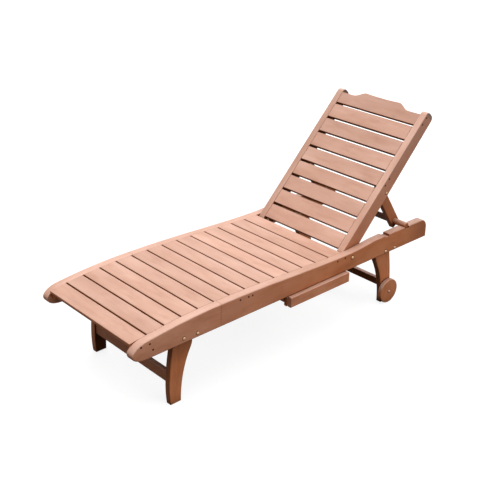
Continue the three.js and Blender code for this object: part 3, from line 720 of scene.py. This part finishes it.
def nut_and_end(across, depth, reach):
    """A hexagon nut with chamfered corners on a washer, and the bolt's threaded end."""
    def make(work):
        washer = across * NUT_WASHER_SHARE
        turned(work, [(0, 0), (washer, 0), (washer, NUT_WASHER_HEIGHT), (0, NUT_WASHER_HEIGHT)])
        corner = across / math.sqrt(3)
        rings = []
        for share, height in ((NUT_END_SHARE, NUT_WASHER_HEIGHT),
                              (1.0, NUT_WASHER_HEIGHT + NUT_CHAMFER),
                              (1.0, depth - NUT_CHAMFER),
                              (NUT_END_SHARE, depth)):
            rings.append([work.verts.new((share * corner * math.cos(step * math.pi / 3),
                                          share * corner * math.sin(step * math.pi / 3), height))
                          for step in range(6)])
        for low, high in zip(rings, rings[1:]):
            for step in range(6):
                work.faces.new((low[step], low[step - 1], high[step - 1], high[step]))
        work.faces.new(rings[0])
        work.faces.new(rings[-1])
        height = 0.2 * MM
        profile = [(0, height / 2)]
        while height < reach:
            profile.append((THREAD_RADIUS, height))
            profile.append((THREAD_RADIUS - THREAD_DEPTH, height + THREAD_PITCH / 2))
            height += THREAD_PITCH
        profile.append((0, height))
        turned(work, profile, COARSE_SEGMENTS)
    return make


def countersunk(radius):
    """A countersunk screw head just proud of the wood, with a round recess in its middle."""
    bottom = -0.60 * MM
    recess = [(0, 0.10 * MM), (0.28 * radius, 0.12 * MM), (0.36 * radius, 0.40 * MM)]
    face_and_edge = [(0.94 * radius, 0.45 * MM), (radius, 0.25 * MM)]
    sunk = [(radius, bottom), (0, bottom)]

    def make(work):
        turned(work, recess + face_and_edge + sunk, COARSE_SEGMENTS)
    return make


# The through bolts of the hinge, the prop's pivot and the axles are CAD nodes. They get washers
# under their heads, near black as a painted shadow, and hexagon nuts over their round nuts.
SEAT_PLAY = 0.3 * MM                        # under the heads and nuts of the CAD bolts
CAD_NUT_HEIGHT = 5.0 * MM
CAD_HEAD_HEIGHTS = {"hinge": 4.0 * MM, "pivot": 2.4 * MM, "axle": 4.0 * MM}
CAD_BOLT_WASHER = flat_washer(9.4 * MM)
CAD_BOLT_NUT = nut_and_end(12 * MM, 5.5 * MM, 8 * MM)


def dress_through_bolts():
    for kind, head_height in CAD_HEAD_HEIGHTS.items():
        for label, side in SIDES:
            name = f"{kind}_bolt_{label}"
            dress(name, DULL_ZINC if kind == "axle" else ZINC)
            under_head = centre(name)
            under_head.y = outer_y(name, side) - side * (head_height + SEAT_PLAY / 2)
            under_nut = centre(name)
            under_nut.y = inner_y(name, side) + side * (CAD_NUT_HEIGHT + SEAT_PLAY / 2)
            body = body_of(name)
            new_piece(name + "_washer", CAD_BOLT_WASHER, SHADOW_STEEL, under_head, Y * side, body)
            new_piece(name + "_nut", CAD_BOLT_NUT, ZINC, under_nut, Y * -side, body)


# Two bolts hold each leg to its rail: heads outside, nuts on the leg's inner face. A place is
# along X from the middle of the foot, and up from the floor.
LEG_BOLTS = {
    "front": ((0.018, 0.302), (0.084, 0.2995)),
    "rear": ((-0.067, 0.2935), (-0.004, 0.2945)),
}
BOWED_EDGE_REACH = 30 * MM                  # from the middle of the foot
LEG_BOLT_HEAD = dome_head(7.0 * MM, 4.2 * MM)
LEG_BOLT_WASHER = flat_washer(8.6 * MM)
LEG_BOLT_NUT = nut_and_end(13 * MM, 6 * MM, 9 * MM)


def add_leg_bolts():
    for label, side in SIDES:
        rail_y = outer_y("side_rail_" + label, side)
        for end, spots in LEG_BOLTS.items():
            leg = f"{end}_leg_{label}"
            low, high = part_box(leg)
            foot_x = low.x + BOWED_EDGE_REACH if end == "front" else high.x - BOWED_EDGE_REACH
            for number, (along, height) in enumerate(spots, 1):
                name = f"leg_bolt_{end}_{label}_{number}"
                outside = Vector((foot_x + along, rail_y, height))
                inside = Vector((foot_x + along, inner_y(leg, side), height))
                new_piece(name + "_head", LEG_BOLT_HEAD, ZINC, outside, Y * side, "frame")
                # The washer is near black: a painted shadow ring under the head.
                new_piece(name + "_washer", LEG_BOLT_WASHER, SHADOW_STEEL, outside, Y * side, "frame")
                new_piece(name + "_nut", LEG_BOLT_NUT, ZINC, inside, Y * -side, "frame")


# Screws go through each side rail towards the cleat and the slats. A place is along X from the
# rail's foot end, and up from the floor. Others go through each backrest rail, and a place is
# along the rail from the hinge.
RAIL_SCREWS = ((0.0405, 0.341), (0.080, 0.341), (0.0935, 0.312), (0.521, 0.3625), (0.565, 0.361),
               (0.586, 0.360), (1.0815, 0.347), (1.1295, 0.347))
BACK_SCREWS = (0.353, 0.388, 0.680, 0.715)
BACK_SCREW_SETTING = 14 * MM                # in front of the line from the hinge along the rail
# The screw heads are near black: the painted shade of the holes they sit in.
SCREW_HEAD = countersunk(4.4 * MM)


def add_screws():
    for label, side in SIDES:
        rail = "side_rail_" + label
        rail_foot_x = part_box(rail)[0].x
        for number, (along, height) in enumerate(RAIL_SCREWS, 1):
            spot = Vector((rail_foot_x + along, outer_y(rail, side), height))
            new_piece(f"rail_screw_{label}_{number}", SCREW_HEAD, SHADOW_STEEL, spot, Y * side,
                      "frame")
        hinge = centre("hinge_bolt_" + label)
        for number, along in enumerate(BACK_SCREWS, 1):
            spot = hinge + BACK_UP * along + BACK_FRONT * BACK_SCREW_SETTING
            spot.y = outer_y("backrest_rail_" + label, side)
            new_piece(f"back_screw_{label}_{number}", SCREW_HEAD, SHADOW_STEEL, spot, Y * side,
                      "backrest")


# ---------------------------------------------------------------- floor, light and camera

FLOOR_HALF = 40.0
WORLD_STRENGTH = 0.60
WHITE = rgba(1, 1, 1)

# Where the photo was taken from. Azimuth 0 looks along +Y, and the place is set off from the
# foot bar.
CAMERA_FROM_BAR = Vector((-3.13306, -2.62495, 0))
CAMERA_HEIGHT = 2.0930
CAMERA_AZIMUTH = math.radians(-42.18)
CAMERA_ELEVATION = math.radians(25.16)
CAMERA_ROLL = math.radians(0.49)
CAMERA_LENS = 68.64
SENSOR_WIDTH = 36.0


def floor_material():
    """Plain pale ground. It looks nearly white and keeps a soft shadow, and its bounce is low."""
    shader = Material("pale_floor")
    shader.surface.inputs["Base Color"].default_value = rgba(0.07, 0.07, 0.07)
    shader.surface.inputs["Roughness"].default_value = 0.9
    away = shader.vector("LENGTH", shader.add("ShaderNodeTexCoord").outputs["Object"])
    glow = shader.add("ShaderNodeEmission")
    shader.link(shader.remap(away, 0.9, 3.5, 0.82, 1.0, smooth=True), glow.inputs["Strength"])
    matt = shader.add("ShaderNodeBsdfDiffuse")
    matt.inputs["Color"].default_value = rgba(0.28, 0.28, 0.28)
    seen = shader.add("ShaderNodeAddShader")
    shader.link(matt.outputs[0], seen.inputs[0])
    shader.link(glow.outputs[0], seen.inputs[1])
    choice = shader.add("ShaderNodeMixShader")
    shader.link(shader.seen_directly(), choice.inputs[0])
    shader.link(shader.surface.outputs[0], choice.inputs[1])
    shader.link(seen.outputs[0], choice.inputs[2])
    shader.link(choice.outputs[0], shader.output.inputs["Surface"])
    return shader.material


def make_floor():
    mesh = bpy.data.meshes.new("floor")
    corners = [(x * FLOOR_HALF, y * FLOOR_HALF, 0) for x, y in ((-1, -1), (1, -1), (1, 1), (-1, 1))]
    mesh.from_pydata(corners, [], [(0, 1, 2, 3)])
    mesh.materials.append(floor_material())
    floor = bpy.data.objects.new("floor", mesh)
    bpy.context.scene.collection.objects.link(floor)


def make_world():
    """Soft light that grows towards the top of the sky, behind a white backdrop."""
    world = bpy.data.worlds.new("studio")
    bpy.context.scene.world = world
    world.use_nodes = True
    sky = NodeTree(world.node_tree)
    _, _, height = sky.split(sky.add("ShaderNodeTexCoord").outputs["Generated"])
    soft = sky.add("ShaderNodeBackground")
    soft.inputs["Color"].default_value = WHITE
    strength = sky.remap(height, 0.05, 0.85, 0.02 * WORLD_STRENGTH, WORLD_STRENGTH, smooth=True)
    sky.link(strength, soft.inputs["Strength"])
    backdrop = sky.add("ShaderNodeBackground")
    backdrop.inputs["Color"].default_value = WHITE
    choice = sky.add("ShaderNodeMixShader")
    sky.link(sky.seen_directly(), choice.inputs[0])
    sky.link(soft.outputs[0], choice.inputs[1])
    sky.link(backdrop.outputs[0], choice.inputs[2])
    sky.link(choice.outputs[0], sky.add("ShaderNodeOutputWorld").inputs[0])


def area_light(name, place, target, width, height, power):
    lamp = bpy.data.lights.new(name, "AREA")
    lamp.shape = "RECTANGLE"
    lamp.size = width
    lamp.size_y = height
    lamp.energy = power
    holder = bpy.data.objects.new(name, lamp)
    holder.location = place
    holder.rotation_euler = (Vector(target) - Vector(place)).to_track_quat("-Z", "Y").to_euler()
    bpy.context.scene.collection.objects.link(holder)


def make_lights():
    middle = (0, 0, 0.4)
    area_light("far_softbox", (3.0, 3.4, 3.2), middle, width=6.0, height=3.0, power=150)
    area_light("overhead_softbox", (-1.6, 0.0, 3.8), middle, width=4.0, height=3.0, power=90)
    area_light("front_fill", (1.4, -4.2, 2.9), middle, width=4.0, height=2.4, power=115)
    area_light("foot_fill", (-4.5, -0.8, 1.6), (0, 0, 0.3), width=3.0, height=2.0, power=14)


def make_camera():
    azimuth = CAMERA_AZIMUTH
    elevation = CAMERA_ELEVATION
    back = Vector((math.sin(azimuth) * math.cos(elevation),
                   -math.cos(azimuth) * math.cos(elevation),
                   math.sin(elevation)))
    right = Vector((math.cos(azimuth), math.sin(azimuth), 0))
    up = back.cross(right)
    rolled = right * math.cos(CAMERA_ROLL) + up * math.sin(CAMERA_ROLL)
    turn = Matrix((rolled, back.cross(rolled), back)).transposed()
    place = Vector((FOOT_BAR.x, FOOT_BAR.y, CAMERA_HEIGHT)) + CAMERA_FROM_BAR
    data = bpy.data.cameras.new("camera")
    data.sensor_width = SENSOR_WIDTH
    data.lens = CAMERA_LENS
    camera = bpy.data.objects.new("camera", data)
    camera.matrix_world = Matrix.Translation(place) @ turn.to_4x4()
    bpy.context.scene.collection.objects.link(camera)
    bpy.context.scene.camera = camera


# ---------------------------------------------------------------- the whole scene

dress_wood()
dress_through_bolts()
add_leg_bolts()
add_screws()

make_floor()
make_world()
make_lights()
make_camera()
bpy.context.scene.view_settings.view_transform = "Standard"
